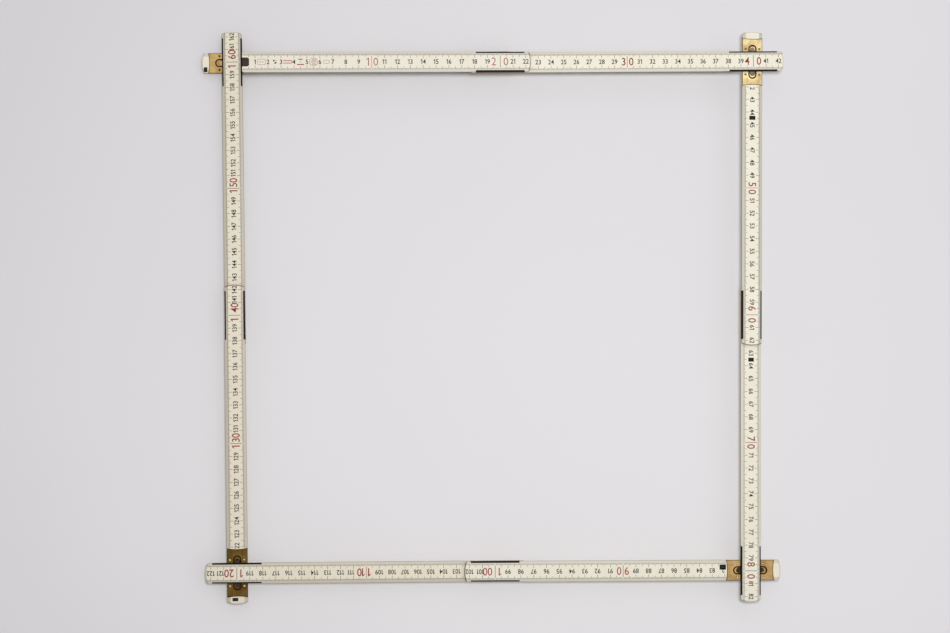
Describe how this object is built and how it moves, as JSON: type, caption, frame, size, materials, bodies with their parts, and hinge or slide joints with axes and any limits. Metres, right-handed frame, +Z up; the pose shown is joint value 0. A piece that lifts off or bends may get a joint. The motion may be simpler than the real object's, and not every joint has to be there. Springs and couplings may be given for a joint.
{
  "type": "folding rule",
  "caption": "Two-metre painted wooden folding rule whose limbs turn on sprung brass hinge plates, opened out into a square, with a centimetre and millimetre scale.",
  "frame": {"origin": "on the surface that the rule lies on, in the middle of the box around the opened square", "axes": "+Z up out of the top face, along every pivot; +X along the first limb, away from the zero end; +Y towards that limb's side of the square"},
  "size_m": [0.4584, 0.4521, 0.0336],
  "materials": {
    "painted_wood": "hardwood slats under satin ivory paint",
    "brass_plate": "pressed sheet, polished, slightly tarnished",
    "darkened_plate": "pressed sheet, tarnished dark brown",
    "spring_steel": "dark tempered strip, greased",
    "rivet_steel": "plain, rubbed",
    "bronzed_cap": "bronzed dark brown, satin",
    "black_print": "printed scale, thin black ink",
    "red_print": "printed tens, thin red ink"
  },
  "bodies": {
    "limb_1": {"slat_1": "painted_wood", "zero_end_cap": "bronzed_cap", "upper_plate_1": "darkened_plate"},
    "limb_2": {"slat_2": "painted_wood", "lower_plate_1": "brass_plate", "leaf_spring_1": "spring_steel", "rivet_1": "rivet_steel", "upper_plate_2": "darkened_plate"},
    "limb_3": {"slat_3": "painted_wood", "lower_plate_2": "brass_plate", "leaf_spring_2": "spring_steel", "rivet_2": "rivet_steel", "upper_plate_3": "darkened_plate"},
    "limb_4": {"slat_4": "painted_wood", "lower_plate_3": "brass_plate", "leaf_spring_3": "spring_steel", "rivet_3": "rivet_steel", "upper_plate_4": "darkened_plate"},
    "limb_5": {"slat_5": "painted_wood", "lower_plate_4": "brass_plate", "leaf_spring_4": "spring_steel", "rivet_4": "rivet_steel", "upper_plate_5": "darkened_plate"},
    "limb_6": {"slat_6": "painted_wood", "lower_plate_5": "brass_plate", "leaf_spring_5": "spring_steel", "rivet_5": "rivet_steel", "upper_plate_6": "darkened_plate"},
    "limb_7": {"slat_7": "painted_wood", "lower_plate_6": "brass_plate", "leaf_spring_6": "spring_steel", "rivet_6": "rivet_steel", "upper_plate_7": "darkened_plate"},
    "limb_8": {"slat_8": "painted_wood", "lower_plate_7": "brass_plate", "leaf_spring_7": "spring_steel", "rivet_7": "rivet_steel", "upper_plate_8": "darkened_plate"},
    "limb_9": {"slat_9": "painted_wood", "lower_plate_8": "brass_plate", "leaf_spring_8": "spring_steel", "rivet_8": "rivet_steel", "upper_plate_9": "darkened_plate"},
    "limb_10": {"slat_10": "painted_wood", "lower_plate_9": "brass_plate", "leaf_spring_9": "spring_steel", "rivet_9": "rivet_steel", "far_end_cap": "bronzed_cap"}
  },
  "joints": [
    {"name": "pivot_20", "type": "hinge", "parent": "limb_1", "child": "limb_2", "pos_m": [0.00523, 0.19718, 0.0304], "axis": [0, 0, 1], "range_deg": [-180.2, 179.8]},
    {"name": "pivot_40", "type": "hinge", "parent": "limb_2", "child": "limb_3", "pos_m": [0.20523, 0.19788, 0.027], "axis": [0, 0, 1], "range_deg": [-88.6, 271.4]},
    {"name": "pivot_60", "type": "hinge", "parent": "limb_3", "child": "limb_4", "pos_m": [0.20104, -0.00208, 0.0236], "axis": [0, 0, 1], "range_deg": [-180.1, 179.9]},
    {"name": "pivot_80", "type": "hinge", "parent": "limb_4", "child": "limb_5", "pos_m": [0.1972, -0.20204, 0.0202], "axis": [0, 0, 1], "range_deg": [-90.4, 269.6]},
    {"name": "pivot_100", "type": "hinge", "parent": "limb_5", "child": "limb_6", "pos_m": [-0.00278, -0.1996, 0.0168], "axis": [0, 0, 1], "range_deg": [-180.2, 179.8]},
    {"name": "pivot_120", "type": "hinge", "parent": "limb_6", "child": "limb_7", "pos_m": [-0.20277, -0.19785, 0.0134], "axis": [0, 0, 1], "range_deg": [-90.8, 269.2]},
    {"name": "pivot_140", "type": "hinge", "parent": "limb_7", "child": "limb_8", "pos_m": [-0.20382, 0.00214, 0.01], "axis": [0, 0, 1], "range_deg": [-180.1, 179.9]},
    {"name": "pivot_160", "type": "hinge", "parent": "limb_8", "child": "limb_9", "pos_m": [-0.20522, 0.20214, 0.0066], "axis": [0, 0, 1], "range_deg": [-89.9, 270.1]},
    {"name": "pivot_180", "type": "hinge", "parent": "limb_9", "child": "limb_10", "pos_m": [-0.00522, 0.20318, 0.0032], "axis": [0, 0, 1], "range_deg": [-179.8, 180.2]}
  ]
}
